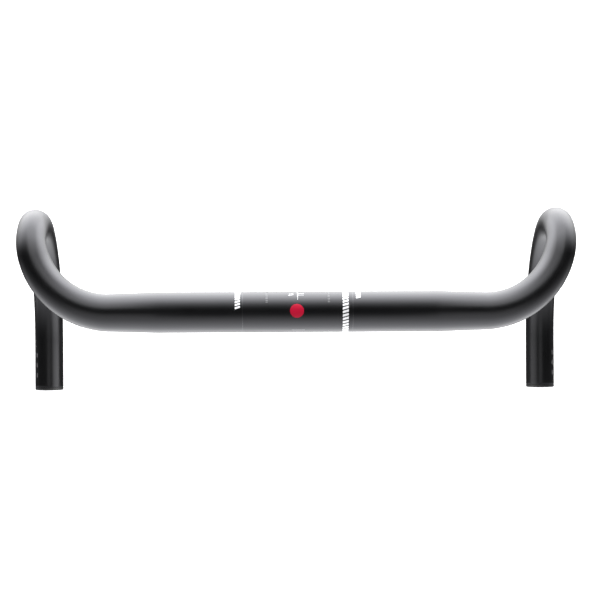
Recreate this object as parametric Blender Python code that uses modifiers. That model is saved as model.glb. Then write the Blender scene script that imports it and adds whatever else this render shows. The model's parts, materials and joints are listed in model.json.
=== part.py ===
"""Drop handlebar: one butted, bent aluminium tube with an expander plug in each open end.

The frame's origin is the middle of the clamp zone, on the tube's axis. +X runs to the rider's right,
+Y forward and +Z up, with the bar as it sits on a bicycle.
"""

import math

import bmesh
import bpy
from mathutils import Matrix, Vector

# Sizes in metres, angles in degrees.

# The bar's line, from the middle outwards. The corner turns forward in plan; the hook turns down in
# side view through three radii, and begins before the corner has ended.
BAR_WIDTH = 0.420  # centre to centre at the ramps
CORNER_RADIUS = 0.063
RAMP_SLOPE = 1.0  # below level
HOOK_OVERLAP = 0.0195  # length of tube that turns both ways at once
KNUCKLE_RADIUS = 0.0315
KNUCKLE_ANGLE = 74.0
HOOK_RADIUS = 0.056
HOOK_ANGLE = 38.0
LOWER_RADIUS = 0.100
LOWER_ANGLE = 61.5
DROP_STRAIGHT = 0.0403

# The tube's section.
CLAMP_DIAMETER = 0.0318
GRIP_DIAMETER = 0.0238
TAPER_START = 0.110  # along the tube from the middle
TAPER_LENGTH = 0.130
CLAMP_WALL = 0.0020
GRIP_WALL = 0.0016
BUTT_START = 0.055
BUTT_LENGTH = 0.040

# The end plugs. The cap's spigot is as long as the screw's pocket and the web under it.
FLANGE_THICKNESS = 0.0026
FLANGE_ROUND = 0.0010
CAP_WEB = 0.0037
SLEEVE_NECK = 0.0065  # the sleeve's unslotted, uncut end
SLEEVE_CLEARANCE = 0.0010  # round the screw
SLOT_WIDTH = 0.0015
SLOT_COUNT = 4
WEDGE_CLEARANCE = 0.0023  # between the wedge's collar and the bore
WEDGE_TAPER = 0.0030  # radius lost along the cone
WEDGE_CONE_LENGTH = 0.0090
WEDGE_ENGAGEMENT = 0.0075  # of the cone, inside the sleeve at rest
WEDGE_SPARE = 0.0020  # room ahead of the cone, to draw it further in
WEDGE_COLLAR_LENGTH = 0.0035

# The M5 socket screw and its washer.
SCREW_DIAMETER = 0.0050
SCREW_HEAD_DIAMETER = 0.0085
SCREW_HEAD_HEIGHT = 0.0050
SCREW_RECESS = 0.0006  # head below the cap's face
SCREW_PROJECTION = 0.0020  # shank past the wedge nut
SCREW_CHAMFER = 0.0005
SOCKET_WIDTH = 0.0040  # across the flats
SOCKET_DEPTH = 0.0028
WASHER_MARGIN = 0.00075  # outside the screw's head
WASHER_THICKNESS = 0.0010

GAP = 0.0003  # between neighbouring pieces
BORE_OVERRUN = 0.0040  # of the bore's cutter, past the tube's ends

TUBE_SIDES = 24
BEND_STEP = 7.5  # degrees of bend between stations
NEAREST_STATIONS = 0.0015
STEPS_BETWEEN_STATIONS = 24
TURNED_STEPS = 28
ROUND_STEPS = 3
SHARP_ANGLE = 35.0
WELD = 0.00001

# name: colour, roughness, metallic
FINISHES = {
    "satin_black_aluminium": ((0.018, 0.018, 0.020), 0.34, 0.6),
    "black_plastic": ((0.020, 0.020, 0.021), 0.50, 0.0),
    "black_rubber": ((0.025, 0.025, 0.025), 0.85, 0.0),
    "grey_nylon": ((0.110, 0.110, 0.115), 0.60, 0.0),
    "black_steel": ((0.030, 0.030, 0.032), 0.35, 0.9),
    "zinc_steel": ((0.550, 0.560, 0.580), 0.30, 1.0),
}


def clear_scene():
    for obj in list(bpy.data.objects):
        bpy.data.objects.remove(obj, do_unlink=True)


def new_collection(name, helper=False):
    collection = bpy.data.collections.new(name)
    bpy.context.scene.collection.children.link(collection)
    collection.hide_render = helper
    return collection


def finish(name):
    """The named finish as a material, made once."""
    found = bpy.data.materials.get(name)
    if found:
        return found
    colour, roughness, metallic = FINISHES[name]
    material = bpy.data.materials.new(name)
    material.use_nodes = True
    shader = material.node_tree.nodes["Principled BSDF"]
    shader.inputs["Base Color"].default_value = (*colour, 1.0)
    shader.inputs["Roughness"].default_value = roughness
    shader.inputs["Metallic"].default_value = metallic
    return material


def make_helper(obj):
    obj.hide_render = True
    obj.display_type = "WIRE"


def smooth_rounds(mesh):
    mesh.shade_smooth()
    mesh.set_sharp_from_angle(angle=math.radians(SHARP_ANGLE))


# The bar's line


def ramp_between(value, start, end, low, high):
    """Runs from low at start to high at end, and is level outside."""
    share = min(max((value - start) / (end - start), 0.0), 1.0)
    return low + (high - low) * share


def corner_span():
    """Where the corner starts and ends, along the tube from the middle."""
    start = BAR_WIDTH / 2 - CORNER_RADIUS
    return start, start + CORNER_RADIUS * math.pi / 2


def hook_bends():
    """Start, end and downward turn of each of the hook's three arcs, along the tube."""
    bends = []
    start = corner_span()[1] - HOOK_OVERLAP
    for radius, angle in (
        (KNUCKLE_RADIUS, KNUCKLE_ANGLE),
        (HOOK_RADIUS, HOOK_ANGLE),
        (LOWER_RADIUS, LOWER_ANGLE),
    ):
        end = start + radius * math.radians(angle)
        bends.append((start, end, math.radians(angle)))
        start = end
    return bends


def half_length():
    return hook_bends()[-1][1] + DROP_STRAIGHT


def direction_at(s):
    """The right half's direction of travel at a distance along the tube."""
    yaw = ramp_between(s, *corner_span(), 0.0, math.pi / 2)
    pitch = math.radians(RAMP_SLOPE)
    for start, end, turn in hook_bends():
        pitch += ramp_between(s, start, end, 0.0, turn)
    forward = math.sin(yaw)
    return Vector(
        (math.cos(yaw), forward * math.cos(pitch), -forward * math.sin(pitch))
    )


def stations():
    """Distances along the right half, close together only where it bends."""
    corner_start = corner_span()[0]
    hook = hook_bends()
    turn_before_hook = (hook[0][0] - corner_start) / CORNER_RADIUS
    marks = {BUTT_START, BUTT_START + BUTT_LENGTH, half_length()}
    marks |= {TAPER_START, TAPER_START + TAPER_LENGTH}
    for start, end, turn in [(corner_start, hook[0][0], turn_before_hook), *hook]:
        steps = math.ceil(math.degrees(turn) / BEND_STEP)
        marks |= {start + (end - start) * i / steps for i in range(steps + 1)}
    found = []
    for mark in sorted(marks):
        if not found or mark - found[-1] > NEAREST_STATIONS:
            found.append(mark)
    found[-1] = half_length()
    return found


def right_line():
    """(distance, point) at each station of the right half, from the middle out."""
    line = [(0.0, Vector((0.0, 0.0, 0.0)))]
    for s in stations():
        last, point = line[-1]
        step = (s - last) / STEPS_BETWEEN_STATIONS
        travel = Vector((0.0, 0.0, 0.0))
        for i in range(STEPS_BETWEEN_STATIONS):
            travel += direction_at(last + (i + 0.5) * step) * step
        line.append((s, point + travel))
    return line


def outer_radius(s):
    taper_end = TAPER_START + TAPER_LENGTH
    return ramp_between(s, TAPER_START, taper_end, CLAMP_DIAMETER, GRIP_DIAMETER) / 2


def wall_at(s):
    butt_end = BUTT_START + BUTT_LENGTH
    return ramp_between(s, BUTT_START, butt_end, CLAMP_WALL, GRIP_WALL)


def whole_line(overrun=0.0):
    """(distance, point) from the left end to the right, run on past both ends by overrun."""
    right = right_line()
    if overrun:
        s, point = right[-1]
        right.append((s + overrun, point + direction_at(s) * overrun))
    left = [(s, Vector((-p.x, p.y, p.z))) for s, p in reversed(right[1:])]
    return left + right


def solid_along(name, line, radius_at, collection):
    """A closed round solid along the line, with a radius for each distance."""
    curve = bpy.data.curves.new(name, "CURVE")
    curve.dimensions = "3D"
    curve.bevel_depth = 1.0
    curve.bevel_resolution = (TUBE_SIDES - 4) // 2
    curve.use_fill_caps = True
    spline = curve.splines.new("POLY")
    spline.points.add(len(line) - 1)
    for point, (s, place) in zip(spline.points, line):
        point.co = (*place, 1.0)
        point.radius = radius_at(s)
    drawn = bpy.data.objects.new(name + "_line", curve)
    collection.objects.link(drawn)
    graph = bpy.context.evaluated_depsgraph_get()
    mesh = bpy.data.meshes.new_from_object(drawn.evaluated_get(graph))
    mesh.name = name
    work = bmesh.new()
    work.from_mesh(mesh)
    bmesh.ops.remove_doubles(work, verts=work.verts, dist=WELD)
    bmesh.ops.recalc_face_normals(work, faces=work.faces)
    work.to_mesh(mesh)
    work.free()
    solid = bpy.data.objects.new(name, mesh)
    solid.matrix_world = drawn.matrix_world
    collection.objects.link(solid)
    bpy.data.objects.remove(drawn, do_unlink=True)
    return solid


def cut(piece, cutter):
    make_helper(cutter)
    boolean = piece.modifiers.new("cut_" + cutter.name, "BOOLEAN")
    boolean.operation = "DIFFERENCE"
    boolean.solver = "EXACT"
    boolean.object = cutter


def make_tube(parts, helpers):
    tube = solid_along("handlebar_tube", whole_line(), outer_radius, parts)
    bore = solid_along(
        "tube_bore",
        whole_line(overrun=BORE_OVERRUN),
        lambda s: outer_radius(s) - wall_at(s),
        helpers,
    )
    cut(tube, bore)
    tube.data.materials.clear()
    tube.data.materials.append(finish("satin_black_aluminium"))
    smooth_rounds(tube.data)
    return tube


# Turned pieces. Their local +Z points out of the tube's end, and z = 0 is the cut end.


def turned(name, profile, material, parent, parts):
    """The closed outline in (radius, height) turned a full circle about local Z."""
    mesh = bpy.data.meshes.new(name)
    work = bmesh.new()
    points = [work.verts.new((radius, 0.0, height)) for radius, height in profile]
    for point, following in zip(points, points[1:] + points[:1]):
        if point.co.x > 0.0 or following.co.x > 0.0:
            work.edges.new((point, following))
    work.to_mesh(mesh)
    work.free()
    outline = bpy.data.objects.new(name + "_outline", mesh)
    parts.objects.link(outline)
    screw = outline.modifiers.new("turn", "SCREW")
    screw.steps = TURNED_STEPS
    screw.render_steps = TURNED_STEPS
    screw.use_merge_vertices = True
    screw.merge_threshold = WELD
    graph = bpy.context.evaluated_depsgraph_get()
    solid = bpy.data.meshes.new_from_object(outline.evaluated_get(graph))
    bpy.data.objects.remove(outline, do_unlink=True)
    solid.name = name
    solid.materials.append(finish(material))
    smooth_rounds(solid)
    piece = bpy.data.objects.new(name, solid)
    parts.objects.link(piece)
    piece.parent = parent
    return piece


def rounded_corner(radius, height, size):
    """Points of a convex quarter round whose sharp corner would be at (radius, height)."""
    points = []
    for i in range(ROUND_STEPS + 1):
        angle = math.pi / 2 * (1 - i / ROUND_STEPS)
        across = radius - size + size * math.cos(angle)
        points.append((across, height - size + size * math.sin(angle)))
    return points


def prism(name, sides, radius, low, high, parent, helpers):
    """An upright cutter about the parent's axis."""
    mesh = bpy.data.meshes.new(name)
    work = bmesh.new()
    bmesh.ops.create_cone(
        work,
        cap_ends=True,
        segments=sides,
        radius1=radius,
        radius2=radius,
        depth=high - low,
        matrix=Matrix.Translation((0.0, 0.0, (low + high) / 2)),
    )
    work.to_mesh(mesh)
    work.free()
    cutter = bpy.data.objects.new(name, mesh)
    helpers.objects.link(cutter)
    cutter.parent = parent
    return cutter


def plug_levels():
    """Heights in the plug's own frame, from the cap's face inwards."""
    face = GAP + FLANGE_THICKNESS
    head_top = face - SCREW_RECESS
    head_base = head_top - SCREW_HEAD_HEIGHT
    washer_top = head_base - GAP
    washer_base = washer_top - WASHER_THICKNESS
    seat = washer_base - GAP
    spigot_base = seat - CAP_WEB
    sleeve_top = spigot_base - GAP
    cone_end = sleeve_top - SLEEVE_NECK
    wedge_top = cone_end - WEDGE_SPARE
    sleeve_base = wedge_top - WEDGE_ENGAGEMENT
    wedge_base = wedge_top - WEDGE_CONE_LENGTH - WEDGE_COLLAR_LENGTH
    return {
        "face": face,
        "head_top": head_top,
        "head_base": head_base,
        "washer_top": washer_top,
        "washer_base": washer_base,
        "seat": seat,
        "spigot_base": spigot_base,
        "sleeve_top": sleeve_top,
        "cone_end": cone_end,
        "sleeve_base": sleeve_base,
        "wedge_top": wedge_top,
        "wedge_base": wedge_base,
        "screw_end": wedge_base - SCREW_PROJECTION,
    }


def bore_radius():
    """Inside the tube at its cut end."""
    return outer_radius(half_length()) - wall_at(half_length())


def washer_radius():
    return SCREW_HEAD_DIAMETER / 2 + WASHER_MARGIN


def wedge_radius():
    return bore_radius() - WEDGE_CLEARANCE


def make_cap(side, axis, levels, parts):
    flange = outer_radius(half_length())
    spigot = bore_radius() - GAP
    pocket = washer_radius() + GAP
    hole = SCREW_DIAMETER / 2 + GAP
    profile = [
        *rounded_corner(flange, levels["face"], FLANGE_ROUND),
        (flange, GAP),
        (spigot, GAP),
        (spigot, levels["spigot_base"]),
        (hole, levels["spigot_base"]),
        (hole, levels["seat"]),
        (pocket, levels["seat"]),
        (pocket, levels["face"]),
    ]
    return turned(side + "_end_cap", profile, "black_plastic", axis, parts)


def make_washer(side, axis, levels, parts):
    outer = washer_radius()
    inner = SCREW_DIAMETER / 2 + GAP
    profile = [
        (outer, levels["washer_top"]),
        (outer, levels["washer_base"]),
        (inner, levels["washer_base"]),
        (inner, levels["washer_top"]),
    ]
    return turned(side + "_washer", profile, "zinc_steel", axis, parts)


def make_screw(side, axis, levels, parts, helpers):
    head = SCREW_HEAD_DIAMETER / 2
    shank = SCREW_DIAMETER / 2
    profile = [
        (0.0, levels["head_top"]),
        (head - SCREW_CHAMFER, levels["head_top"]),
        (head, levels["head_top"] - SCREW_CHAMFER),
        (head, levels["head_base"]),
        (shank, levels["head_base"]),
        (shank, levels["screw_end"] + SCREW_CHAMFER),
        (shank - SCREW_CHAMFER, levels["screw_end"]),
        (0.0, levels["screw_end"]),
    ]
    screw = turned(side + "_screw", profile, "black_steel", axis, parts)
    socket = prism(
        side + "_socket",
        6,
        SOCKET_WIDTH / math.sqrt(3),
        levels["head_top"] - SOCKET_DEPTH,
        levels["head_top"] + GAP,
        axis,
        helpers,
    )
    cut(screw, socket)
    return screw


def make_sleeve(side, axis, levels, parts, helpers):
    """The sleeve's mouth is the wedge's own cone with the gap all round it."""
    outer = bore_radius() - GAP
    bore = SCREW_DIAMETER / 2 + SLEEVE_CLEARANCE
    lean = WEDGE_TAPER / WEDGE_CONE_LENGTH
    at_wedge_top = wedge_radius() - WEDGE_TAPER + GAP * math.sqrt(1 + lean**2)
    at_cone_end = max(at_wedge_top - lean * WEDGE_SPARE, bore + GAP)
    profile = [
        (outer, levels["sleeve_top"]),
        (outer, levels["sleeve_base"]),
        (at_wedge_top + lean * WEDGE_ENGAGEMENT, levels["sleeve_base"]),
        (at_cone_end, levels["cone_end"]),
        (bore, levels["cone_end"]),
        (bore, levels["sleeve_top"]),
    ]
    sleeve = turned(side + "_expander_sleeve", profile, "black_rubber", axis, parts)
    slot_length = levels["cone_end"] - levels["sleeve_base"] + GAP
    middle = levels["cone_end"] - slot_length / 2
    for i in range(SLOT_COUNT // 2):
        mesh = bpy.data.meshes.new(f"{side}_slot_{i + 1}")
        work = bmesh.new()
        size = Matrix.Diagonal((4 * outer, SLOT_WIDTH, slot_length, 1.0))
        turn = Matrix.Rotation(2 * math.pi * i / SLOT_COUNT, 4, "Z")
        place = Matrix.Translation((0.0, 0.0, middle))
        bmesh.ops.create_cube(work, size=1.0, matrix=place @ turn @ size)
        work.to_mesh(mesh)
        work.free()
        slot = bpy.data.objects.new(mesh.name, mesh)
        helpers.objects.link(slot)
        slot.parent = axis
        cut(sleeve, slot)
    return sleeve


def make_wedge(side, axis, levels, parts):
    large = wedge_radius()
    hole = SCREW_DIAMETER / 2 + GAP
    profile = [
        (large - WEDGE_TAPER, levels["wedge_top"]),
        (large, levels["wedge_top"] - WEDGE_CONE_LENGTH),
        (large, levels["wedge_base"]),
        (hole, levels["wedge_base"]),
        (hole, levels["wedge_top"]),
    ]
    return turned(side + "_wedge_nut", profile, "grey_nylon", axis, parts)


def make_plug(side, sign, parts, helpers):
    """The plug's pieces, on an empty at the middle of the tube's cut end that faces out of it."""
    end = right_line()[-1][1]
    outward = direction_at(half_length())
    across = Vector((1.0, 0.0, 0.0))
    up = outward.cross(across).normalized()
    axis = bpy.data.objects.new(side + "_plug_axis", None)
    turn = Matrix((across, up, outward)).transposed()
    axis.matrix_world = Matrix.Translation((sign * end.x, end.y, end.z)) @ turn.to_4x4()
    axis.empty_display_size = 0.02
    parts.objects.link(axis)
    levels = plug_levels()
    make_cap(side, axis, levels, parts)
    make_washer(side, axis, levels, parts)
    make_screw(side, axis, levels, parts, helpers)
    make_sleeve(side, axis, levels, parts, helpers)
    make_wedge(side, axis, levels, parts)


def main():
    clear_scene()
    parts = new_collection("drop_handlebar")
    helpers = new_collection("cutters", helper=True)
    make_tube(parts, helpers)
    make_plug("right", 1.0, parts, helpers)
    make_plug("left", -1.0, parts, helpers)


main()
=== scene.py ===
"""Drop handlebar: the finished look of a bent aluminium bar, its prints and its two expander plugs.

Lengths are in metres and angles in radians. The frame's origin is the middle of the clamp zone, on
the tube's axis: +X runs to the rider's right, +Y forward and +Z up.
"""

import json
import math

import bpy
from bpy.props import FloatProperty, FloatVectorProperty, IntProperty, PointerProperty
from bpy.types import Operator, Panel, PropertyGroup
from mathutils import Matrix, Vector


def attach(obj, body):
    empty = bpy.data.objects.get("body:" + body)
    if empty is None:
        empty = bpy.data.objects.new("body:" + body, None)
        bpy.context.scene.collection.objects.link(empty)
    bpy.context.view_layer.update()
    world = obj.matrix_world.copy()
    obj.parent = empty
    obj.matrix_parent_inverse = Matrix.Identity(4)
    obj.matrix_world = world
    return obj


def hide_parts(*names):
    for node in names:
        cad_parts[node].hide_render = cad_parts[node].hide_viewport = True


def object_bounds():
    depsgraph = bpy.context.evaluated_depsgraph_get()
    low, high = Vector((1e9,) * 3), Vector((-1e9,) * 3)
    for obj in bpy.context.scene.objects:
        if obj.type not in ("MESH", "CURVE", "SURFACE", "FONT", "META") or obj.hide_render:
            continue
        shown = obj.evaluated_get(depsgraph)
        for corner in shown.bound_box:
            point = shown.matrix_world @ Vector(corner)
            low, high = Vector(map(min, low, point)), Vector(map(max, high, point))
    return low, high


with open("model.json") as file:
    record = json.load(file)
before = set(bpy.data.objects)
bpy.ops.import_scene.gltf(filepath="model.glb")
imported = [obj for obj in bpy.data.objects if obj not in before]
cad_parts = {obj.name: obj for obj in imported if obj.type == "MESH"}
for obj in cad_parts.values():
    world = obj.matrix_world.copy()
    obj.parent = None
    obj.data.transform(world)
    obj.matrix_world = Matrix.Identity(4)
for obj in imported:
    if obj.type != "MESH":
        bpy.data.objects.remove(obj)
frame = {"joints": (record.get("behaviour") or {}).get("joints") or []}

bl_info = {
    "name": "Drop Handlebar",
    "version": (1, 0, 0),
    "blender": (4, 5, 0),
    "location": "3D View > Sidebar > Handlebar",
    "description": "Models a bent handlebar tube, its prints and its end plugs round a fixed frame",
    "category": "Object",
}

SIDES = ("right", "left")
CAD_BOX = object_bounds()
DEG = math.pi / 180
GAP = 0.0003  # between neighbouring pieces


def length(name, description, default):
    kind = {"min": 0.0, "precision": 5, "subtype": "DISTANCE", "unit": "LENGTH"}
    return FloatProperty(name=name, description=description, default=default, **kind)


def angle(name, description, degrees):
    kind = {"default": degrees * DEG, "subtype": "ANGLE", "unit": "ROTATION"}
    return FloatProperty(name=name, description=description, **kind)


def count(name, description, default):
    return IntProperty(name=name, description=description, default=default, min=1)


def share(name, description, default):
    return FloatProperty(name=name, description=description, default=default, min=0.0)


def colour(name, description, default):
    kind = {"default": default, "min": 0.0, "max": 1.0, "subtype": "COLOR"}
    return FloatVectorProperty(name=name, description=description, **kind)


def point(name, description, default):
    kind = {"default": default, "subtype": "TRANSLATION", "unit": "LENGTH"}
    return FloatVectorProperty(name=name, description=description, **kind)


class HandlebarTubeSizes(PropertyGroup):
    """The bent tube: its line from the middle outwards, then its section."""

    width: length("Width", "Centre to centre at the ramps", 0.420)
    corner_radius: length("Corner Radius", "Bend from the tops to the ramp", 0.063)
    ramp_slope: angle("Ramp Slope", "Fall of the ramp below level", 1.0)
    hook_overlap: length("Hook Overlap", "Tube that turns both ways at once", 0.0195)
    knuckle_radius: length("Knuckle Radius", "First bend of the hook", 0.0315)
    knuckle_angle: angle("Knuckle Angle", "Turn of the first bend", 74.0)
    hook_radius: length("Hook Radius", "Second bend of the hook", 0.056)
    hook_angle: angle("Hook Angle", "Turn of the second bend", 38.0)
    lower_radius: length("Lower Radius", "Third bend of the hook", 0.100)
    lower_angle: angle("Lower Angle", "Turn of the third bend", 61.5)
    drop_straight: length("Drop Straight", "Straight tube at the end", 0.0403)
    clamp_diameter: length("Clamp Diameter", "Outside, in the middle", 0.0318)
    grip_diameter: length("Grip Diameter", "Outside, at the drops", 0.0238)
    taper_start: length("Taper Start", "Along the tube from the middle", 0.110)
    taper_length: length("Taper Length", "Along the tube", 0.130)
    clamp_wall: length("Clamp Wall", "Wall in the middle", 0.0020)
    grip_wall: length("Grip Wall", "Wall at the drops", 0.0016)
    butt_start: length("Butt Start", "Where the wall starts to thin", 0.055)
    butt_length: length("Butt Length", "How far it takes to thin", 0.040)
    end_chamfer: length("End Chamfer", "Broken edge at the cut ends", 0.00025)
    ring_step: length("Ring Step", "Length of one ring of faces", 0.0020)
    facets: count("Facets", "Faces round the tube", 96)


class HandlebarPlugSizes(PropertyGroup):
    """The pieces of one expander plug, from its face inwards."""

    flange_thickness: length("Flange Thickness", "Of the cap's flange", 0.0026)
    flange_round: length("Flange Round", "Outer edge of the flange", 0.0010)
    cap_web: length("Cap Web", "Cap material under the washer", 0.0037)
    sleeve_neck: length("Sleeve Neck", "Unslotted end of the sleeve", 0.0065)
    sleeve_clearance: length("Sleeve Clearance", "Round the screw", 0.0010)
    slot_width: length("Slot Width", "Of the sleeve's slots", 0.0015)
    slot_count: count("Slot Count", "Slots in the sleeve", 4)
    wedge_clearance: length("Wedge Clearance", "Between wedge and bore", 0.0023)
    wedge_taper: length("Wedge Taper", "Radius lost along the cone", 0.0030)
    wedge_cone: length("Wedge Cone", "Length of the cone", 0.0090)
    wedge_engagement: length("Wedge Engagement", "Cone inside the sleeve", 0.0075)
    wedge_spare: length("Wedge Spare", "Room to draw the cone in", 0.0020)
    wedge_collar: length("Wedge Collar", "Length of the collar", 0.0035)
    screw_diameter: length("Screw Diameter", "Across the thread", 0.0050)
    screw_pitch: length("Screw Pitch", "Of the thread", 0.0008)
    head_diameter: length("Head Diameter", "Of the screw's head", 0.0085)
    head_height: length("Head Height", "Of the screw's head", 0.0050)
    screw_recess: length("Screw Recess", "Head below the cap's face", 0.0006)
    screw_projection: length("Screw Projection", "Thread past the nut", 0.0020)
    socket_width: length("Socket Width", "Across the hexagon's flats", 0.0040)
    socket_depth: length("Socket Depth", "Of the hexagon", 0.0028)
    washer_margin: length("Washer Margin", "Outside the screw's head", 0.00075)
    washer_thickness: length("Washer Thickness", "Of the flat washer", 0.0010)
    facets: count("Facets", "Faces round a turned piece", 96)


class HandlebarPrintSizes(PropertyGroup):
    """The printed marks. Angles run round the tube from its top towards the front."""

    ink: length("Ink", "Thickness of the printed film", 0.00004)
    limit_place: length("Limit Place", "Clamp limit lines, from the middle", 0.0430)
    limit_width: length("Limit Width", "Width of a clamp limit line", 0.0004)
    scale_place: length("Scale Place", "Tick ladders, from the middle", 0.0242)
    dash_width: length("Dash Width", "Of a slanted dash, round the tube", 0.0017)
    dash_pitch: length("Dash Pitch", "From dash to dash, round the tube", 0.0028)
    dash_slant: angle("Dash Slant", "Lean of a dash", 17.0)
    disc_radius: length("Disc Radius", "Of the plain round mark", 0.0054)
    disc_place: length("Disc Place", "Of the plain round mark, from the middle", -0.0006)


class HandlebarFinishes(PropertyGroup):
    """Colours of the finishes, as linear values."""

    anodised: colour("Anodised", "Satin black tube", (0.042, 0.042, 0.044))
    white_ink: colour("White Ink", "Large marks", (0.86, 0.86, 0.87))
    grey_ink: colour("Grey Ink", "Centring marks", (0.42, 0.42, 0.43))
    scale_ink: colour("Scale Ink", "Fine scales", (0.17, 0.17, 0.175))
    red_ink: colour("Red Ink", "Round mark", (0.50, 0.002, 0.030))
    etched: colour("Etched", "Clamp limit lines", (0.070, 0.070, 0.073))
    cap: colour("Cap", "Moulded plastic", (0.008, 0.008, 0.0085))
    rubber: colour("Rubber", "Expander sleeve", (0.020, 0.020, 0.021))
    nylon: colour("Nylon", "Wedge nut", (0.105, 0.106, 0.110))
    black_steel: colour("Black Steel", "Screw", (0.030, 0.030, 0.033))
    zinc: colour("Zinc", "Washer", (0.56, 0.57, 0.58))
    floor: colour("Floor", "Plain studio floor", (0.86, 0.86, 0.86))


class HandlebarStudio(PropertyGroup):
    """Camera, floor and light."""

    camera_place: point("Camera Place", "Where it stands", (-0.02403, -0.11695, 1.31305))
    camera_aim: point("Camera Aim", "What it looks at", (-0.001816, 0.013309, 0.0))
    camera_roll: angle("Camera Roll", "Turn about its own line of sight", -0.407)
    lens: FloatProperty(
        name="Lens", description="Focal length", default=102.43, unit="CAMERA"
    )
    floor_size: length("Floor Size", "Side of the floor", 40.0)
    floor_gap: length("Floor Gap", "Room below the bar for a plug that is drawn out", 0.006)
    floor_glow: share("Floor Glow", "Light that the floor gives by itself", 0.80)
    room: share("Room", "Brightness of the light round the object", 10.0)
    left_inner: share("Left Inner", "Panel facing the left drop's inner side", 1.6)
    right_inner: share("Right Inner", "Panel facing the right drop's inner side", 0.8)
    drop: share("Drop", "Panels above the drops", 0.35)
    hook: share("Hook", "Panels that face the hooks from inside", 3.0)
    rim: share("Rim", "Panels that lean over the hooks", 1.0)


GROUPS = {
    "handlebar_tube_sizes": HandlebarTubeSizes,
    "handlebar_plug_sizes": HandlebarPlugSizes,
    "handlebar_print_sizes": HandlebarPrintSizes,
    "handlebar_finishes": HandlebarFinishes,
    "handlebar_studio": HandlebarStudio,
}


# Modelling helpers


def only(obj):
    """Makes this the one selected and active object."""
    bpy.ops.object.select_all(action="DESELECT")
    obj.select_set(True)
    bpy.context.view_layer.objects.active = obj


def named(name):
    """Names the object that was just added, and returns it."""
    obj = bpy.context.object
    obj.name = name
    obj.data.name = name
    return obj


def settle(obj, place=None):
    """Turns the object's place into its mesh's place."""
    if place is not None:
        obj.matrix_world = place @ obj.matrix_world
    only(obj)
    bpy.ops.object.transform_apply(location=True, rotation=True, scale=True)


def modify(obj, kind, **settings):
    """Adds a modifier with these settings and applies it."""
    only(obj)
    modifier = obj.modifiers.new(kind.lower(), kind)
    for name, value in settings.items():
        setattr(modifier, name, value)
    bpy.ops.object.modifier_apply(modifier=modifier.name)


def remove(obj):
    bpy.data.objects.remove(obj, do_unlink=True)


def carve(obj, cutter, operation="DIFFERENCE"):
    modify(obj, "BOOLEAN", operation=operation, object=cutter, solver="EXACT")
    remove(cutter)


def joined(name, pieces):
    bpy.ops.object.select_all(action="DESELECT")
    for piece in pieces:
        piece.select_set(True)
    bpy.context.view_layer.objects.active = pieces[0]
    if len(pieces) > 1:
        bpy.ops.object.join()
    return named(name)


def copied(obj, name, place):
    """A copy with its own mesh, moved by this matrix."""
    only(obj)
    bpy.ops.object.duplicate(linked=False)
    copy = named(name)
    settle(copy, place)
    return copy


def smooth(obj):
    only(obj)
    bpy.ops.object.shade_smooth_by_angle(angle=30 * DEG)


def bevelled(obj, width, degrees=30.0):
    """Breaks every edge that is sharper than this angle."""
    modify(
        obj,
        "BEVEL",
        width=width,
        segments=2,
        limit_method="ANGLE",
        angle_limit=degrees * DEG,
        use_clamp_overlap=True,
        harden_normals=False,
    )


def facing_out(obj):
    """Merges doubles and turns every face outwards."""
    only(obj)
    bpy.ops.object.mode_set(mode="EDIT")
    bpy.ops.mesh.select_all(action="SELECT")
    bpy.ops.mesh.remove_doubles(threshold=1e-6)
    bpy.ops.mesh.normals_make_consistent(inside=False)
    bpy.ops.object.mode_set(mode="OBJECT")


def select_open_rims():
    """Selects the edges that have only one face, in edit mode."""
    bpy.ops.mesh.select_mode(type="EDGE")
    bpy.ops.mesh.select_all(action="DESELECT")
    bpy.ops.mesh.select_non_manifold(
        extend=False,
        use_wire=False,
        use_boundary=True,
        use_multi_face=False,
        use_non_contiguous=False,
        use_verts=False,
    )


def turned(name, outline, facets, closed=True):
    """A turned piece about +Z: a circle carried along the (radius, height) outline.

    A closed outline ends where it began, as on a ring. An open one starts and ends near the axis,
    where its two small circles are filled.
    """
    radius, height = outline[0]
    bpy.ops.mesh.primitive_circle_add(
        vertices=facets, radius=radius, location=(0.0, 0.0, height)
    )
    obj = named(name)
    settle(obj)
    bpy.ops.object.mode_set(mode="EDIT")
    bpy.ops.mesh.select_mode(type="EDGE")
    bpy.ops.mesh.select_all(action="SELECT")
    if not closed:
        bpy.ops.mesh.edge_face_add()
        bpy.ops.mesh.select_all(action="SELECT")
    for next_radius, next_height in outline[1:]:
        bpy.ops.mesh.extrude_region_move(
            TRANSFORM_OT_translate={"value": (0.0, 0.0, next_height - height)}
        )
        grow = next_radius / radius
        bpy.ops.transform.resize(
            value=(grow, grow, 1.0), center_override=(0.0, 0.0, next_height)
        )
        radius, height = next_radius, next_height
    if closed:
        select_open_rims()
        bpy.ops.mesh.bridge_edge_loops()
    bpy.ops.object.mode_set(mode="OBJECT")
    facing_out(obj)
    return obj


def quarter_round(radius, height, size, steps=5):
    """Points of a convex quarter round whose sharp corner would be at (radius, height)."""
    points = []
    for i in range(steps + 1):
        turn = math.pi / 2 * (1 - i / steps)
        across = radius - size + size * math.cos(turn)
        points.append((across, height - size + size * math.sin(turn)))
    return points


# Shader helpers


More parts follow.
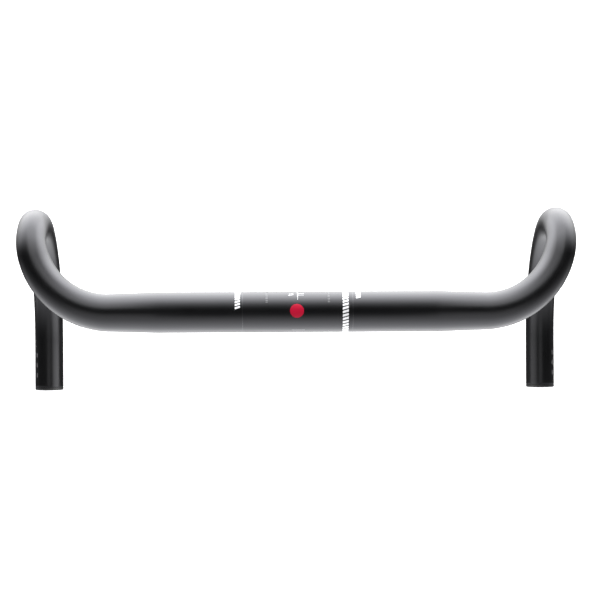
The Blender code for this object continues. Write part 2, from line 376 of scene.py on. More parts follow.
class Value:
    """A socket's number in a shader, on which sums can be written."""

    def __init__(self, paint, socket):
        self.paint = paint
        self.socket = socket

    def _sum(self, operation, first, second):
        return self.paint.node("Math", {"operation": operation}, first, second)

    def __add__(self, other):
        return self._sum("ADD", self, other)

    __radd__ = __add__

    def __sub__(self, other):
        return self._sum("SUBTRACT", self, other)

    def __rsub__(self, other):
        return self._sum("SUBTRACT", other, self)

    def __mul__(self, other):
        return self._sum("MULTIPLY", self, other)

    __rmul__ = __mul__

    def __pow__(self, other):
        return self._sum("POWER", self, other)

    def __lt__(self, other):
        return self._sum("LESS_THAN", self, other)

    def __abs__(self):
        return self._sum("ABSOLUTE", self, 0.0)

    def output(self, name):
        """Another output of the same node."""
        return Value(self.paint, self.socket.node.outputs[name])


class Paint:
    """The nodes of one material or of the world."""

    def __init__(self, tree):
        self.tree = tree

    def node(self, kind, settings=None, *values, **sockets):
        """Adds a node: its settings first, then values or links by order or by name."""
        made = self.tree.nodes.new("ShaderNode" + kind)
        for name, value in (settings or {}).items():
            if name == "stops":
                self._stops(made.color_ramp, value)
            else:
                setattr(made, name, value)
        for socket, value in zip(made.inputs, values):
            self.feed(socket, value)
        for name, value in sockets.items():
            self.feed(made.inputs[name.replace("_", " ")], value)
        return Value(self, made.outputs[0]) if made.outputs else made

    def _stops(self, ramp, stops):
        while len(ramp.elements) < len(stops):
            ramp.elements.new(1.0)
        for element, (place, level) in zip(ramp.elements, stops):
            element.position = place
            element.color = (level, level, level, 1.0)

    def feed(self, socket, value):
        if isinstance(value, Value):
            self.tree.links.new(value.socket, socket)
        else:
            socket.default_value = value

    def mixed(self, factor, first, second):
        """Between two colours, each a value with four parts or a link."""
        made = self.tree.nodes.new("ShaderNodeMix")
        made.data_type = "RGBA"
        self.feed(made.inputs["Factor"], factor)
        self.feed(made.inputs[6], first)
        self.feed(made.inputs[7], second)
        return Value(self, made.outputs[2])

    def here(self):
        """The piece's own coordinates."""
        return self.node("TexCoord").output("Object")

    def noise(self, where, scale, detail=2.0, roughness=0.5):
        sockets = {"Scale": scale, "Detail": detail, "Roughness": roughness}
        return self.node("TexNoise", None, where, **sockets)


def opaque(value, level=1.0):
    """A colour property as four parts, its brightness scaled."""
    return (value[0] * level, value[1] * level, value[2] * level, 1.0)


def new_paint(name):
    material = bpy.data.materials.new(name)
    material.use_nodes = True
    return material, Paint(material.node_tree)


def finish_with(paint, colour, roughness, normal=None, **constants):
    """Feeds the material's shader: what varies, then the values that are the same all over."""
    shader = paint.tree.nodes["Principled BSDF"]
    paint.feed(shader.inputs["Base Color"], colour)
    paint.feed(shader.inputs["Roughness"], roughness)
    if normal is not None:
        paint.feed(shader.inputs["Normal"], normal)
    for name, value in constants.items():
        shader.inputs[name.replace("_", " ")].default_value = value


def satin_anodised(prints, colours):
    """Bead-blasted and black anodised: a fine grain over drawn lines, and a keyed clamp zone."""
    material, paint = new_paint("satin_black_anodised")
    straight = paint.node("Attribute", {"attribute_name": "straight"}).output("Vector")
    along = paint.node("SeparateXYZ", None, straight)
    clamp_zone = abs(along) < prints.limit_place
    cloud = paint.noise(paint.here(), 55.0, 3.0, 0.55)
    lines = paint.noise(
        paint.node("Mapping", None, straight, Scale=(30.0, 900.0, 900.0)), 1.0, 2.0
    )
    grain = paint.noise(paint.here(), 5200.0, 2.0, 0.6)
    tone = 0.10 * (cloud - 0.5) + 0.08 * (lines - 0.5) + 0.5
    shade = paint.mixed(
        tone, opaque(colours.anodised, 0.82), opaque(colours.anodised, 1.18)
    )
    roughness = 0.30 + 0.06 * (cloud - 0.5) + 0.05 * (lines - 0.5) + 0.02 * clamp_zone
    bump = paint.node("Bump", None, Strength=0.25, Distance=0.00004, Height=grain)
    finish_with(paint, shade, roughness, bump, Metallic=1.0)
    return material


def ink(name, colour_value):
    """Screen-printed film: slightly uneven cover, soft sheen."""
    material, paint = new_paint(name)
    cover = paint.noise(paint.here(), 1400.0, 3.0, 0.6)
    patch = paint.noise(paint.here(), 210.0, 2.0)
    tone = 0.5 + 0.5 * (cover - 0.5) + 0.4 * (patch - 0.5)
    shade = paint.mixed(tone, opaque(colour_value, 0.88), opaque(colour_value, 1.08))
    bump = paint.node("Bump", None, Strength=0.15, Distance=0.00003, Height=cover)
    sheen = 0.42 + 0.1 * (patch - 0.5)
    finish_with(paint, shade, sheen, bump, Specular_IOR_Level=0.3)
    return material


def etched_metal(name, colour_value):
    """Where a laser has thinned the anodising: still metal, a little lighter and rougher."""
    material, paint = new_paint(name)
    specks = paint.noise(paint.here(), 3800.0, 2.0, 0.6)
    tone = 0.5 + 0.8 * (specks - 0.5)
    shade = paint.mixed(tone, opaque(colour_value, 0.8), opaque(colour_value, 1.2))
    bump = paint.node("Bump", None, Strength=0.2, Distance=0.00002, Height=specks)
    finish_with(paint, shade, 0.34 + 0.08 * (specks - 0.5), bump, Metallic=1.0)
    return material


def moulded_plastic(name, colour_value, base_roughness, grain_scale=2600.0):
    """Spark-eroded mould texture, with faint flow clouds."""
    material, paint = new_paint(name)
    grain = paint.noise(paint.here(), grain_scale, 3.0, 0.65)
    cloud = paint.noise(paint.here(), 160.0, 2.0)
    tone = 0.5 + 0.6 * (grain - 0.5) + 0.5 * (cloud - 0.5)
    shade = paint.mixed(tone, opaque(colour_value, 0.80), opaque(colour_value, 1.25))
    roughness = base_roughness + 0.14 * (grain - 0.5) + 0.10 * (cloud - 0.5)
    bump = paint.node("Bump", None, Strength=0.35, Distance=0.00006, Height=grain)
    finish_with(paint, shade, roughness, bump)
    return material


def turned_metal(name, colour_value, base_roughness, axis_place, axis_turn):
    """Plated or blackened steel with the fine rings that turning leaves, about the piece's axis."""
    material, paint = new_paint(name)
    about_axis = {"Location": axis_place, "Rotation": axis_turn}
    centred = paint.node("Mapping", {"vector_type": "TEXTURE"}, paint.here(), **about_axis)
    across = paint.node("SeparateXYZ", None, centred)
    radius = (across**2.0 + across.output("Y") ** 2.0) ** 0.5
    ring_phase = 42000.0  # radians per metre of radius, so a ring is 0.15 mm wide
    rings = paint.node("Math", {"operation": "SINE"}, radius * ring_phase)
    cloud = paint.noise(paint.here(), 420.0, 3.0, 0.6)
    tone = 0.5 + 0.10 * rings + 0.9 * (cloud - 0.5)
    shade = paint.mixed(tone, opaque(colour_value, 0.78), opaque(colour_value, 1.2))
    roughness = base_roughness + 0.16 * (cloud - 0.5)
    bump = paint.node("Bump", None, Strength=0.2, Distance=0.00002, Height=rings)
    finish_with(paint, shade, roughness, bump, Metallic=1.0)
    return material


# The tube's line


def ramp_between(value, start, end, low, high):
    """Runs from low at start to high at end, and is level outside."""
    along = min(max((value - start) / (end - start), 0.0), 1.0)
    return low + (high - low) * along


def corner_span(tube):
    start = tube.width / 2 - tube.corner_radius
    return start, start + tube.corner_radius * math.pi / 2


def hook_bends(tube):
    """Start, end and downward turn of each of the hook's three arcs, along the tube."""
    bends = []
    start = corner_span(tube)[1] - tube.hook_overlap
    for radius, turn in (
        (tube.knuckle_radius, tube.knuckle_angle),
        (tube.hook_radius, tube.hook_angle),
        (tube.lower_radius, tube.lower_angle),
    ):
        bends.append((start, start + radius * turn, turn))
        start += radius * turn
    return bends


def half_length(tube):
    return hook_bends(tube)[-1][1] + tube.drop_straight


def direction_at(tube, s):
    """The right half's direction of travel at a distance along the tube."""
    yaw = ramp_between(s, *corner_span(tube), 0.0, math.pi / 2)
    pitch = tube.ramp_slope
    for start, end, turn in hook_bends(tube):
        pitch += ramp_between(s, start, end, 0.0, turn)
    forward = math.sin(yaw)
    return Vector(
        (math.cos(yaw), forward * math.cos(pitch), -forward * math.sin(pitch))
    )


def outer_radius(tube, s):
    taper_end = tube.taper_start + tube.taper_length
    diameter = ramp_between(
        s, tube.taper_start, taper_end, tube.clamp_diameter, tube.grip_diameter
    )
    return diameter / 2


def wall_at(tube, s):
    butt_end = tube.butt_start + tube.butt_length
    return ramp_between(s, tube.butt_start, butt_end, tube.clamp_wall, tube.grip_wall)


def right_line(tube, rings):
    """(distance, point) at evenly spaced rings of the right half, from the middle out."""
    step = half_length(tube) / rings
    fine = 8
    line = [(0.0, Vector((0.0, 0.0, 0.0)))]
    for i in range(rings):
        travel = Vector((0.0, 0.0, 0.0))
        for k in range(fine):
            travel += direction_at(tube, (i + (k + 0.5) / fine) * step) * (step / fine)
        line.append(((i + 1) * step, line[-1][1] + travel))
    return line


def centreline_object(tube, rings):
    """A curve from the left end to the right, whose radius carries the tube's taper."""
    right = right_line(tube, rings)
    left = [(s, Vector((-p.x, p.y, p.z))) for s, p in reversed(right[1:])]
    curve = bpy.data.curves.new("centreline", "CURVE")
    curve.dimensions = "3D"
    curve.twist_mode = "MINIMUM"
    curve.use_radius = True
    spline = curve.splines.new("POLY")
    line = left + right
    spline.points.add(len(line) - 1)
    for spot, (s, place) in zip(spline.points, line):
        spot.co = (*place, 1.0)
        spot.radius = outer_radius(tube, s) / (tube.clamp_diameter / 2)
    obj = bpy.data.objects.new("centreline", curve)
    bpy.context.scene.collection.objects.link(obj)
    return obj


def remember_straight(obj, half):
    """Keeps each point's place on the straight tube, measured from the middle, as an attribute."""
    places = obj.data.attributes.new("straight", "FLOAT_VECTOR", "POINT")
    for item, vertex in zip(places.data, obj.data.vertices):
        item.vector = vertex.co - Vector((half, 0.0, 0.0))


def weigh_wall(obj, tube):
    """A vertex group that holds each point's wall, as a share of the clamp zone's."""
    group = obj.vertex_groups.new(name="wall")
    for item, vertex in zip(obj.data.attributes["straight"].data, obj.data.vertices):
        wall = wall_at(tube, abs(item.vector.x))
        group.add([vertex.index], wall / tube.clamp_wall, "REPLACE")


def build_tube(tube):
    """A straight tube of many short rings, bent along the centreline and then given its wall."""
    half = half_length(tube)
    rings = math.ceil(half / tube.ring_step)
    step = half / rings
    bpy.ops.mesh.primitive_circle_add(
        vertices=tube.facets,
        radius=tube.clamp_diameter / 2,
        rotation=(0.0, math.pi / 2, 0.0),
    )
    obj = named("bent_tube")
    settle(obj)
    bpy.ops.object.mode_set(mode="EDIT")
    bpy.ops.mesh.select_mode(type="EDGE")
    bpy.ops.mesh.select_all(action="SELECT")
    bpy.ops.mesh.extrude_region_move(TRANSFORM_OT_translate={"value": (step, 0.0, 0.0)})
    bpy.ops.object.mode_set(mode="OBJECT")
    modify(
        obj,
        "ARRAY",
        count=2 * rings,
        use_relative_offset=False,
        use_constant_offset=True,
        constant_offset_displace=(step, 0.0, 0.0),
        use_merge_vertices=True,
        merge_threshold=1e-5,
    )
    facing_out(obj)
    remember_straight(obj, half)
    centreline = centreline_object(tube, rings)
    modify(obj, "CURVE", object=centreline, deform_axis="POS_X")
    remove(centreline)
    facing_out(obj)
    weigh_wall(obj, tube)
    modify(
        obj,
        "SOLIDIFY",
        thickness=tube.clamp_wall,
        offset=-1.0,
        vertex_group="wall",
        use_even_offset=True,
    )
    obj.vertex_groups.clear()
    bevelled(obj, tube.end_chamfer, degrees=50.0)
    smooth(obj)
    return obj


# The prints


def skin(name, radius, low, high):
    """An open cylinder about the X axis, from low to high."""
    bpy.ops.mesh.primitive_cylinder_add(
        vertices=180,
        radius=radius,
        depth=high - low,
        end_fill_type="NOTHING",
        location=((low + high) / 2, 0.0, 0.0),
        rotation=(0.0, math.pi / 2, 0.0),
    )
    obj = named(name)
    settle(obj)
    return obj


def keep_above(obj, spots):
    """Bisects the piece with each (place, normal) plane and keeps the normal's side."""
    only(obj)
    bpy.ops.object.mode_set(mode="EDIT")
    for place, normal in spots:
        bpy.ops.mesh.select_all(action="SELECT")
        bpy.ops.mesh.bisect(
            plane_co=place, plane_no=normal, use_fill=False, clear_inner=True
        )
    bpy.ops.object.mode_set(mode="OBJECT")


def printed(obj, prints):
    """Gives an open skin the thickness of the printed film, and returns it."""
    facing_out(obj)
    modify(obj, "SOLIDIFY", thickness=prints.ink, offset=-1.0)
    smooth(obj)
    return obj


def film_radius(prints, around):
    """A film's outside: it stands half its thickness off the tube."""
    return around + 1.5 * prints.ink


def stroke(name, tube, prints, place, size, slant=0.0, radius=None):
    """One straight mark on the tube, centred at (x, angle): its length runs along X."""
    x, turn = place
    long, wide = size
    around = radius or tube.clamp_diameter / 2
    obj = skin(name, film_radius(prints, around), x - long / 2, x + long / 2)
    radial = Vector((0.0, math.sin(turn), math.cos(turn)))
    tangent = Vector((0.0, math.cos(turn), -math.sin(turn)))
    middle = Vector((x, 0.0, 0.0)) + radial * around
    edge = tangent * math.cos(slant) - Vector((math.sin(slant), 0.0, 0.0))
    half = edge * (wide / 2)
    keep_above(
        obj,
        [((0.0, 0.0, 0.0), radial), (middle - half, edge), (middle + half, -edge)],
    )
    return obj


def row_of_strokes(name, tube, prints, x, size, turns, slant=0.0):
    """Equal marks at these angles: one is made, the others are copies turned about X."""
    first = stroke(name, tube, prints, (x, turns[0]), size, slant)
    marks = [first]
    for turn in turns[1:]:
        spin = Matrix.Rotation(turns[0] - turn, 4, "X")
        marks.append(copied(first, name + "_mark", spin))
    return joined(name, marks)


def spread(start, end, pitch_angle):
    """Angles from start to end, one pitch apart."""
    steps = int((end - start) / pitch_angle)
    return [start + i * pitch_angle for i in range(steps + 1)]


def around_x(tube, distance):
    """The angle that this distance round the clamp zone covers."""
    return distance / (tube.clamp_diameter / 2)


def clamp_limit_lines(tube, prints):
    """A thin ring at each end of the zone that a stem may clamp."""
    name = "clamp_limit_lines"
    radius = film_radius(prints, tube.clamp_diameter / 2)
    half = prints.limit_width / 2
    rings = []
    for side in (-1.0, 1.0):
        middle = side * prints.limit_place
        rings.append(skin(name, radius, middle - half, middle + half))
    return printed(joined(name, rings), prints)


def tick_ladders(tube, prints):
    """Short ticks up the tube's front, for setting the bar's turn, and a long one behind."""
    name = "tick_ladders"
    tick = (0.0017, 0.0006)
    tick_pitch = 0.0016
    turns = spread(24 * DEG, 84 * DEG, around_x(tube, tick_pitch))
    rows = []
    for side in (-1.0, 1.0):
        x = side * prints.scale_place
        rows.append(row_of_strokes(name, tube, prints, x, tick, turns))
    rear = stroke(name, tube, prints, (0.0005, -67 * DEG), (0.0100, 0.0009))
    return printed(joined(name, [*rows, rear]), prints)


def centring_cross(tube, prints):
    """The centring line, two level ticks on one side of it and a slanted pair on the other."""
    name = "centring_cross"
    marks = []
    for x, turn, size, slant in (
        (0.0, 58, (0.0006, 0.0145), 0.0),
        (0.0027, 50, (0.0046, 0.0006), 0.0),
        (0.0027, 58, (0.0046, 0.0007), 0.0),
        (-0.0053, 50, (0.0042, 0.0008), 20.0),
        (-0.0050, 57, (0.0036, 0.0008), 20.0),
    ):
        place = (x, turn * DEG)
        marks.append(stroke(name, tube, prints, place, size, slant * DEG))
    return printed(joined(name, marks), prints)


def dash_band(name, tube, prints, x, long, start, end, scale):
    """Slanted dashes one after another round the tube, from one angle to another."""
    turns = spread(start, end, around_x(tube, prints.dash_pitch * scale))
    size = (long, prints.dash_width * scale)
    row = row_of_strokes(name, tube, prints, x, size, turns, prints.dash_slant)
    return printed(row, prints)


def drop_marks(tube, prints, side):
    """Three short dashes along the outer side of a drop, a little above its middle."""
    above = 38 * DEG
    turn = above if side == "right" else math.pi - above
    dash = (0.0035, 0.0010)
    radius = tube.grip_diameter / 2
    marks = []
    for x in (0.0100, 0.0185, 0.0270):
        marks.append(stroke("drop_marks", tube, prints, (x, turn), dash, radius=radius))
    obj = printed(joined(side + "_drop_marks", marks), prints)
    settle(obj, plug_axis(side) @ Matrix.Rotation(math.pi / 2, 4, "Y"))
    return obj


def round_mark(tube, prints):
    """A plain disc, cut out of a film on the tube by an upright cylinder."""
    reach = 2 * prints.disc_radius
    radius = film_radius(prints, tube.clamp_diameter / 2)
    film = skin("round_mark", radius, -reach, reach)
    keep_above(film, [((0.0, 0.0, 0.0), (0.0, 0.0, 1.0))])
    printed(film, prints)
    bpy.ops.mesh.primitive_cylinder_add(
        vertices=72,
        radius=prints.disc_radius,
        depth=tube.clamp_diameter,
        location=(prints.disc_place, 0.0, tube.clamp_diameter / 2),
    )
    punch = named("round_punch")
    settle(punch)
    carve(film, punch, "INTERSECT")
    settle(film, Matrix.Rotation(2 * DEG, 4, "X"))
    smooth(film)
    return film


# The plugs. Each piece is made about +Z, which points out of the tube, with z = 0 at the cut end.


def plug_levels(plug):
    """Heights in the plug's own frame, from the cap's face inwards."""
    at = {"face": GAP + plug.flange_thickness}
    at["head_top"] = at["face"] - plug.screw_recess
    at["head_base"] = at["head_top"] - plug.head_height
    at["washer_top"] = at["head_base"] - GAP
    at["washer_base"] = at["washer_top"] - plug.washer_thickness
    at["seat"] = at["washer_base"] - GAP
    at["spigot_base"] = at["seat"] - plug.cap_web
    at["sleeve_top"] = at["spigot_base"] - GAP
    at["cone_end"] = at["sleeve_top"] - plug.sleeve_neck
    at["wedge_top"] = at["cone_end"] - plug.wedge_spare
    at["sleeve_base"] = at["wedge_top"] - plug.wedge_engagement
    at["wedge_base"] = at["wedge_top"] - plug.wedge_cone - plug.wedge_collar
    at["screw_end"] = at["wedge_base"] - plug.screw_projection
    return at


def bore_radius(tube):
    end = half_length(tube)
    return outer_radius(tube, end) - wall_at(tube, end)


def washer_radius(plug):
    return plug.head_diameter / 2 + plug.washer_margin


def wedge_radius(tube, plug):
    return bore_radius(tube) - plug.wedge_clearance


def plug_axis(side):
    """From the plug's own frame to its place at the tube's end, read off the screw's hinge."""
    hinge = next(j for j in frame["joints"] if j["name"] == side + "_screw_turn")
    outward = Vector(hinge["axis"]).normalized()
    across = Vector((1.0, 0.0, 0.0))
    up = outward.cross(across).normalized()
    turn = Matrix((across, up, outward)).transposed()
    return Matrix.Translation(Vector(hinge["pos_m"])) @ turn.to_4x4()


def build_cap(tube, plug):
    """A flange with a grooved face and a pocket, on a spigot with a shallow relief round it."""
    levels = plug_levels(plug)
    face, base, seat = levels["face"], levels["spigot_base"], levels["seat"]
    flange = outer_radius(tube, half_length(tube))
    spigot = bore_radius(tube) - GAP
    pocket = washer_radius(plug) + GAP
    hole = plug.screw_diameter / 2 + GAP
    lead_in = 0.0006
    pocket_edge = 0.0004
    relief, relief_slope = 0.0002, 0.0004
    relief_top, relief_base = -0.0012, -0.0030
    groove, groove_side, groove_floor = pocket + 0.0026, 0.0002, 0.0004
    groove_depth = 0.00025
    outline = [
        *quarter_round(flange, face, plug.flange_round),
        (flange, GAP),
        (spigot, GAP),
        (spigot, relief_top),
        (spigot - relief, relief_top - relief_slope),
        (spigot - relief, relief_base + relief_slope),
        (spigot, relief_base),
        (spigot, base + lead_in),
        (spigot - lead_in, base),
        (hole, base),
        (hole, seat),
        (pocket, seat),
        (pocket, face - pocket_edge),
        (pocket + pocket_edge, face),
        (groove, face),
        (groove + groove_side, face - groove_depth),
        (groove + groove_side + groove_floor, face - groove_depth),
        (groove + 2 * groove_side + groove_floor, face),
    ]
    cap = turned("flanged_cap", outline, plug.facets)
    smooth(cap)
    return cap


def build_washer(tube, plug):
    levels = plug_levels(plug)
    outer = washer_radius(plug)
    inner = plug.screw_diameter / 2 + GAP
    broken_edge = 0.00012
    outline = [
        (outer, levels["washer_top"]),
        (outer, levels["washer_base"]),
        (inner, levels["washer_base"]),
        (inner, levels["washer_top"]),
    ]
    washer = turned("plain_washer", outline, plug.facets)
    bevelled(washer, broken_edge)
    smooth(washer)
    return washer


def build_screw(tube, plug):
    """A socket screw whose thread is a row of rings."""
    levels = plug_levels(plug)
    head = plug.head_diameter / 2
    crest = plug.screw_diameter / 2
    pitch = plug.screw_pitch
    root = crest - pitch / 2
    top, head_base, end = levels["head_top"], levels["head_base"], levels["screw_end"]
    centre = 0.0004  # radius of the small circle that closes each end
    rim = 0.0006  # worn round the head's upper edge
    under_edge = 0.0003
    plain_shank = 0.0012
    shortest_tip = 0.0004
    height = head_base - plain_shank
    outline = [
        (centre, top),
        (head - rim, top),
        (head - rim / 3, top - rim / 3),
        (head, top - rim),
        (head, head_base + under_edge),
        (head - under_edge, head_base),
        (crest, head_base),
        (crest, height),
    ]
    while height - pitch > end + shortest_tip:
        outline += [(root, height - pitch / 2), (crest, height - pitch)]
        height -= pitch
    outline += [(root, end), (centre, end)]
    screw = turned("socket_screw", outline, plug.facets, closed=False)
    bpy.ops.mesh.primitive_cylinder_add(
        vertices=6,
        radius=plug.socket_width / math.sqrt(3),
        depth=2 * plug.socket_depth,
        location=(0.0, 0.0, top),
    )
    hexagon = named("hexagon")
    settle(hexagon)
    carve(screw, hexagon)
    smooth(screw)
    return screw


def build_sleeve(tube, plug):
    """A ribbed sleeve that is slotted from its mouth to the end of the cone inside it."""
    levels = plug_levels(plug)
    top, base, cone_end = levels["sleeve_top"], levels["sleeve_base"], levels["cone_end"]
    outer = bore_radius(tube) - GAP
    bore = plug.screw_diameter / 2 + plug.sleeve_clearance
    lean = plug.wedge_taper / plug.wedge_cone
    at_wedge_top = wedge_radius(tube, plug) - plug.wedge_taper + GAP * math.sqrt(1 + lean**2)
    at_cone_end = max(at_wedge_top - lean * plug.wedge_spare, bore + GAP)
    mouth = at_wedge_top + lean * plug.wedge_engagement
    ribs, rib_depth = 7, 0.0004
    pitch = (top - base) / (ribs + 0.5)
    outline = [(outer, top)]
    for i in range(ribs):
        at = top - (i + 0.5) * pitch
        outline += [
            (outer, at),
            (outer - rib_depth, at - 0.25 * pitch),
            (outer - rib_depth, at - 0.45 * pitch),
            (outer, at - 0.7 * pitch),
        ]
    outline += [
        (outer, base),
        (mouth, base),
        (at_cone_end, cone_end),
        (bore, cone_end),
        (bore, top),
    ]
    sleeve = turned("ribbed_sleeve", outline, plug.facets)
    slot_length = cone_end - base + GAP
    # One box cuts two slots that face each other.
    for i in range(plug.slot_count // 2):
        bpy.ops.mesh.primitive_cube_add(
            size=1.0,
            location=(0.0, 0.0, cone_end - slot_length / 2),
            rotation=(0.0, 0.0, 2 * math.pi * i / plug.slot_count),
            scale=(4 * outer, plug.slot_width, slot_length),
        )
        slot = named("slot")
        settle(slot)
        carve(sleeve, slot)
    smooth(sleeve)
    return sleeve


def build_wedge(tube, plug):
    levels = plug_levels(plug)
    top, base = levels["wedge_top"], levels["wedge_base"]
    large = wedge_radius(tube, plug)
    hole = plug.screw_diameter / 2 + GAP
    rim, hole_edge = 0.0004, 0.0005
    outline = [
        (large - plug.wedge_taper, top),
        (large, top - plug.wedge_cone),
        (large, base + rim),
        (large - rim, base),
        (hole + hole_edge, base),
        (hole, base + hole_edge),
        (hole, top),
    ]
    wedge = turned("tapered_nut", outline, plug.facets)
    smooth(wedge)
    return wedge


# Joining the pieces to the frame


def dress(obj, material, body, node=None):
    """Gives the piece its material and its body, and hides the node that it stands for."""
    obj.data.materials.clear()
    obj.data.materials.append(material)
    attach(obj, body)
    if node:
        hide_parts(node)


def both_sides(context, build, piece_name, material_for, body, slot, node):
    """Builds a plug's piece once and puts a copy of it at each end of the tube."""
    scene = context.scene
    master = build(scene.handlebar_tube_sizes, scene.handlebar_plug_sizes)
    for side in SIDES:
        piece = copied(master, f"{side}_{piece_name}", plug_axis(side))
        dress(piece, material_for(side), f"{side}_{body}", f"{side}_{node}")
    remove(master)


def on_axis(side):
    """Location and rotation that centre a pattern on one plug's axis."""
    place, turn, _ = plug_axis(side).decompose()
    return place, turn.to_euler()


class HANDLEBAR_OT_tube(Operator):
    """Model the bent tube with its tapers and its wall"""

    bl_idname = "handlebar.tube"
    bl_label = "Bent Tube"

    def execute(self, context):
        scene = context.scene
        tube = build_tube(scene.handlebar_tube_sizes)
        material = satin_anodised(scene.handlebar_print_sizes, scene.handlebar_finishes)
        dress(tube, material, "bar", "handlebar_tube")
        return {"FINISHED"}


class HANDLEBAR_OT_prints(Operator):
    """Model the printed marks on the clamp zone"""

    bl_idname = "handlebar.prints"
    bl_label = "Prints"

    def execute(self, context):
        tube = context.scene.handlebar_tube_sizes
        prints = context.scene.handlebar_print_sizes
        colours = context.scene.handlebar_finishes
        white = ink("white_ink", colours.white_ink)
        grey = ink("grey_ink", colours.grey_ink)
        etched = etched_metal("etched_line", colours.etched)
        red = ink("red_ink", colours.red_ink)
        pale = ink("scale_ink", colours.scale_ink)
        dress(clamp_limit_lines(tube, prints), etched, "bar")
        dress(tick_ladders(tube, prints), pale, "bar")
        dress(centring_cross(tube, prints), grey, "bar")
        dress(round_mark(tube, prints), red, "bar")
        for name, x, long, start, end, scale in (
            ("right_dash_band", 0.0373, 0.0046, -95, 100, 1.0),
            ("right_short_dashes", 0.0474, 0.0036, 40, 85, 0.9),
            ("left_dash_band", -0.0469, 0.0040, 8, 85, 0.9),
        ):
            band = dash_band(name, tube, prints, x, long, start * DEG, end * DEG, scale)
            dress(band, white, "bar")
        for side in SIDES:
            dress(drop_marks(tube, prints, side), pale, "bar")
        return {"FINISHED"}


class HANDLEBAR_OT_caps(Operator):
    """Model the flanged cap of each plug"""

    bl_idname = "handlebar.caps"
    bl_label = "End Caps"

    def execute(self, context):
        colour_value = context.scene.handlebar_finishes.cap
        plastic = moulded_plastic("black_cap_plastic", colour_value, 0.42)
        names = ("plug", "black_plastic_cap", "end_cap")
        both_sides(context, build_cap, "flanged_cap", lambda side: plastic, *names)
        return {"FINISHED"}


class HANDLEBAR_OT_washers(Operator):
    """Model the plain washer under each screw's head"""

    bl_idname = "handlebar.washers"
    bl_label = "Washers"

    def execute(self, context):
        zinc = context.scene.handlebar_finishes.zinc
        names = ("plug", "zinc_steel", "washer")

        def plated(side):
            return turned_metal(side + "_zinc", zinc, 0.32, *on_axis(side))

        both_sides(context, build_washer, "plain_washer", plated, *names)
        return {"FINISHED"}


class HANDLEBAR_OT_screws(Operator):
    """Model each plug's socket screw"""

    bl_idname = "handlebar.screws"
    bl_label = "Screws"

    def execute(self, context):
        black = context.scene.handlebar_finishes.black_steel
        names = ("screw", "black_steel", "screw")

        def blackened(side):
            return turned_metal(side + "_oxide", black, 0.36, *on_axis(side))

        both_sides(context, build_screw, "socket_screw", blackened, *names)
        return {"FINISHED"}


class HANDLEBAR_OT_sleeves(Operator):
    """Model each plug's slotted rubber sleeve"""

    bl_idname = "handlebar.sleeves"
    bl_label = "Expander Sleeves"

    def execute(self, context):
        colour_value = context.scene.handlebar_finishes.rubber
        rubber = moulded_plastic("sleeve_rubber", colour_value, 0.75, 1700.0)
        names = ("plug", "black_rubber", "expander_sleeve")
        both_sides(context, build_sleeve, "ribbed_sleeve", lambda side: rubber, *names)
        return {"FINISHED"}


class HANDLEBAR_OT_wedge_nuts(Operator):
    """Model each plug's tapered wedge nut"""

    bl_idname = "handlebar.wedge_nuts"
    bl_label = "Wedge Nuts"

    def execute(self, context):
        colour_value = context.scene.handlebar_finishes.nylon
        nylon = moulded_plastic("nut_nylon", colour_value, 0.50)
        names = ("wedge", "grey_nylon", "wedge_nut")
        both_sides(context, build_wedge, "tapered_nut", lambda side: nylon, *names)
        return {"FINISHED"}


class HANDLEBAR_OT_stage(Operator):
    """Set up the floor, the soft light and the camera"""

    bl_idname = "handlebar.stage"
    bl_label = "Stage"

    def execute(self, context):
        studio = context.scene.handlebar_studio
        make_floor(studio, context.scene.handlebar_finishes)
        make_light(studio)
        make_camera(studio)
        return {"FINISHED"}


# The surround's brightness by lean in degrees: 0 is straight up, 90 level towards the front
# and -90 level towards the back.
SURROUND = {
    -180: 0.00,
    -166: 0.03,
    -150: 0.34,
    -120: 0.48,
    -90: 0.34,
    -60: 0.18,
    -40: 0.095,
    -20: 0.012,
    15: 0.004,
    30: 0.045,
    45: 0.165,
    60: 0.40,
    90: 0.94,
    105: 0.98,
    130: 0.62,
    150: 0.22,
    162: 0.12,
    172: 0.02,
    180: 0.00,
}


def make_floor(studio, colours):
    lowest = CAD_BOX[0][2]
    bpy.ops.mesh.primitive_plane_add(
        size=studio.floor_size, location=(0.0, 0.0, lowest - studio.floor_gap)
    )
    floor = named("studio_floor")
    settle(floor)
    material, paint = new_paint("pale_floor")
    finish_with(
        paint,
        opaque(colours.floor),
        0.9,
        Specular_IOR_Level=0.0,
        Emission_Color=(1.0, 1.0, 1.0, 1.0),
        Emission_Strength=studio.floor_glow,
    )
    floor.data.materials.append(material)
    # Only the camera sees the floor: it neither blocks the surround's light nor adds to it.
    floor.visible_diffuse = False
    floor.visible_glossy = False
    floor.visible_shadow = False


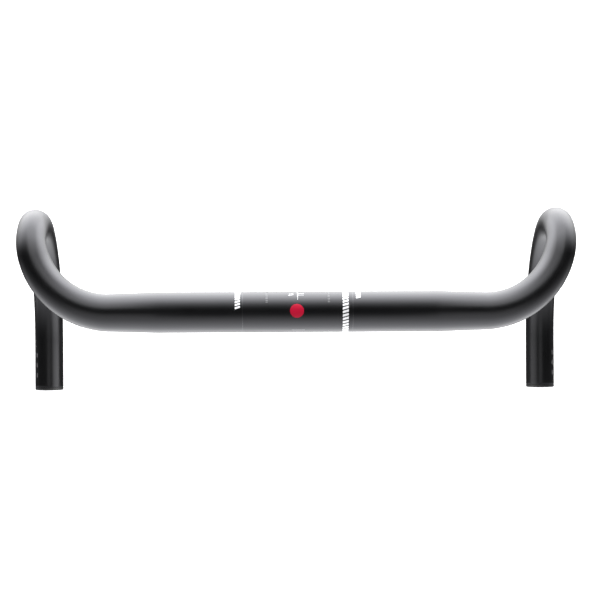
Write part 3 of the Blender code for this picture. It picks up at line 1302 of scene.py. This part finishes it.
def make_light(studio):
    """A soft surround: bright in front, half as bright behind, dark above, below and at the ends.

    Inside it, small panels light what it can't reach.
    """
    world = bpy.data.worlds.new("studio")
    world.use_nodes = True
    bpy.context.scene.world = world
    world.node_tree.nodes.clear()
    paint = Paint(world.node_tree)
    direction = paint.node("TexCoord").output("Generated")
    x = paint.node("SeparateXYZ", None, direction)
    lean = paint.node("Math", {"operation": "ARCTAN2"}, x.output("Y"), x.output("Z"))
    stops = tuple((at / 360 + 0.5, level) for at, level in SURROUND.items())
    glow = paint.node("ValToRGB", {"stops": stops}, lean * (0.5 / math.pi) + 0.5)
    ends = 1 - abs(x) ** 4.0
    strength = glow * ends * studio.room
    lit = paint.node("Background", None, (0.98, 0.985, 1.0, 1.0), strength)
    seen = paint.node("Background", None, (1.0, 1.0, 1.0, 1.0), 1.0)
    camera_ray = paint.node("LightPath")
    surface = paint.node("MixShader", None, camera_ray, lit, seen)
    out = world.node_tree.nodes.new("ShaderNodeOutputWorld")
    world.node_tree.links.new(surface.socket, out.inputs["Surface"])
    bpy.context.scene.view_settings.view_transform = "Standard"
    # On each side: a panel in the middle plane lights the drop's inner side, one lies above the
    # drop, one stands inside the hook and one leans over it. Sizes are width, then length.
    level = (0.0, 0.0, 0.0)
    leaning = (-37 * DEG, 0.0, 0.0)
    for side, inner in ((-1.0, studio.left_inner), (1.0, studio.right_inner)):
        outward = (0.0, -side * math.pi / 2, 0.0)
        soft_panel("inner_light", (0.0, -0.105, 0.05), outward, (0.34, 0.19), inner)
        over_drop = (side * 0.19, -0.08, 0.15)
        in_hook = (side * 0.10, 0.18, 0.03)
        over_hook = (side * 0.205, 0.13, 0.105)
        soft_panel("drop_light", over_drop, level, (0.13, 0.10), studio.drop)
        soft_panel("hook_light", in_hook, outward, (0.38, 0.24), studio.hook)
        soft_panel("rim_light", over_hook, leaning, (0.12, 0.17), studio.rim)


def soft_panel(name, place, turn, size, radiance):
    """A rectangle of even light that the camera doesn't see."""
    bpy.ops.object.light_add(type="AREA", location=place, rotation=turn)
    panel = named(name)
    panel.data.shape = "RECTANGLE"
    panel.data.size, panel.data.size_y = size
    panel.data.energy = radiance * math.pi * size[0] * size[1]
    # Under a half turn, so that no light leaves the panel nearly edge on.
    panel.data.spread = 130 * DEG
    panel.visible_camera = False


def make_camera(studio):
    place, aim = Vector(studio.camera_place), Vector(studio.camera_aim)
    bpy.ops.object.camera_add(location=place)
    camera = named("studio_camera")
    camera.data.sensor_width = 36.0
    camera.data.lens = studio.lens
    back = (place - aim).normalized()
    right = Vector((0.0, 1.0, 0.0)).cross(back).normalized()
    turn = Matrix((right, back.cross(right), back)).transposed().to_4x4()
    roll = Matrix.Rotation(studio.camera_roll, 4, "Z")
    camera.matrix_world = Matrix.Translation(place) @ turn @ roll
    bpy.context.scene.camera = camera


OPERATORS = (
    HANDLEBAR_OT_tube,
    HANDLEBAR_OT_prints,
    HANDLEBAR_OT_caps,
    HANDLEBAR_OT_washers,
    HANDLEBAR_OT_screws,
    HANDLEBAR_OT_sleeves,
    HANDLEBAR_OT_wedge_nuts,
    HANDLEBAR_OT_stage,
)


class HANDLEBAR_PT_panel(Panel):
    bl_label = "Drop Handlebar"
    bl_idname = "HANDLEBAR_PT_panel"
    bl_space_type = "VIEW_3D"
    bl_region_type = "UI"
    bl_category = "Handlebar"

    def draw(self, context):
        for operator in OPERATORS:
            self.layout.operator(operator.bl_idname)
        for attribute in GROUPS:
            box = self.layout.box()
            group = getattr(context.scene, attribute)
            for name in group.__annotations__:
                box.prop(group, name)


def register():
    for group in GROUPS.values():
        bpy.utils.register_class(group)
    for attribute, group in GROUPS.items():
        setattr(bpy.types.Scene, attribute, PointerProperty(type=group))
    for operator in OPERATORS:
        bpy.utils.register_class(operator)
    bpy.utils.register_class(HANDLEBAR_PT_panel)


def unregister():
    bpy.utils.unregister_class(HANDLEBAR_PT_panel)
    for operator in reversed(OPERATORS):
        bpy.utils.unregister_class(operator)
    for attribute, group in GROUPS.items():
        delattr(bpy.types.Scene, attribute)
        bpy.utils.unregister_class(group)


def main():
    register()
    bpy.ops.object.select_all(action="DESELECT")
    for operator in OPERATORS:
        family, name = operator.bl_idname.split(".")
        getattr(getattr(bpy.ops, family), name)()


if __name__ == "__main__":
    main()
